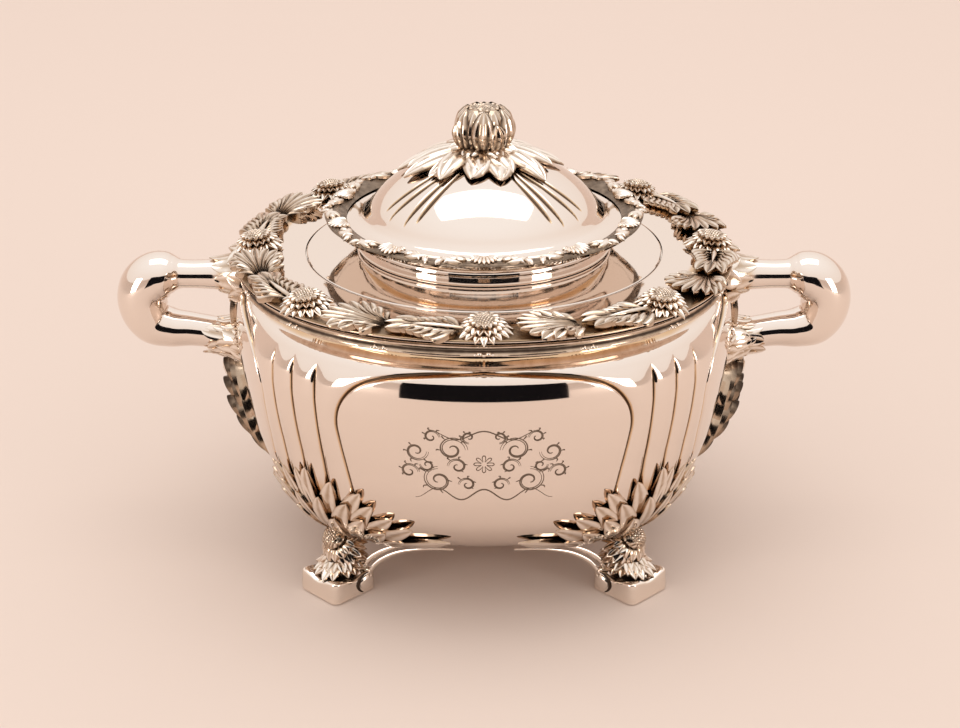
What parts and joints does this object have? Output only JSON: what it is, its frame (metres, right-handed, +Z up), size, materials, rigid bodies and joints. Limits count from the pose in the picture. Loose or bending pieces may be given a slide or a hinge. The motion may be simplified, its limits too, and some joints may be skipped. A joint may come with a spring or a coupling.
{
  "type": "soup tureen",
  "caption": "Covered round soup tureen in polished silver: lobed bowl on scroll feet, loop handles, a wreath of blossoms on its flat rim and a domed lift-off lid with a bud finial.",
  "frame": {"origin": "on the floor, under the centre of the bowl", "axes": "+Z up, +X towards one handle, -Y towards the engraved front"},
  "size_m": [0.3898, 0.2664, 0.2394],
  "materials": {
    "silver": "mirror-polished sterling silver, warm tone",
    "chased_silver": "cast and chased silver, polished on the high points with dark tarnish in the recesses",
    "silver_inside": "plain polished silver out of sight under the rim",
    "hardware": "plain turned metal fixings inside the lid"
  },
  "bodies": {
    "tureen": {"bowl": "silver", "shoulder_plate": "silver", "lid_seat_ring": "silver_inside", "rim_moulding": "chased_silver", "rim_flower_1": "chased_silver", "rim_flower_2": "chased_silver", "rim_flower_3": "chased_silver", "rim_flower_4": "chased_silver", "rim_flower_5": "chased_silver", "rim_flower_6": "chased_silver", "rim_flower_7": "chased_silver", "rim_flower_8": "chased_silver", "rim_leaves_1": "chased_silver", "rim_leaves_2": "chased_silver", "rim_leaves_3": "chased_silver", "rim_leaves_4": "chased_silver", "rim_leaves_5": "chased_silver", "rim_leaves_6": "chased_silver", "rim_leaves_7": "chased_silver", "rim_leaves_8": "chased_silver", "foot_pad_back_right": "chased_silver", "foot_pad_back_left": "chased_silver", "foot_pad_front_left": "chased_silver", "foot_pad_front_right": "chased_silver", "foot_blossom_back_right": "chased_silver", "foot_blossom_back_left": "chased_silver", "foot_blossom_front_left": "chased_silver", "foot_blossom_front_right": "chased_silver", "foot_leaves_back_right": "chased_silver", "foot_leaves_back_left": "chased_silver", "foot_leaves_front_left": "chased_silver", "foot_leaves_front_right": "chased_silver", "handle_right": "silver", "handle_left": "silver", "handle_collar_right": "chased_silver", "handle_collar_left": "chased_silver", "handle_calyx_right": "chased_silver", "handle_calyx_left": "chased_silver", "side_garland_right": "chased_silver", "side_garland_left": "chased_silver"},
    "lid": {"lid_flange": "silver", "lid_bezel": "silver_inside", "lid_neck": "silver", "lid_dome": "silver", "lid_border": "chased_silver", "finial_leaves": "chased_silver", "finial_bud": "chased_silver", "finial_washer": "hardware", "finial_nut": "hardware", "finial_stud": "hardware"}
  },
  "joints": [
    {"name": "lid_lift", "type": "slide", "parent": "tureen", "child": "lid", "axis": [0, 0, 1], "range_m": [0, 0.12]}
  ]
}
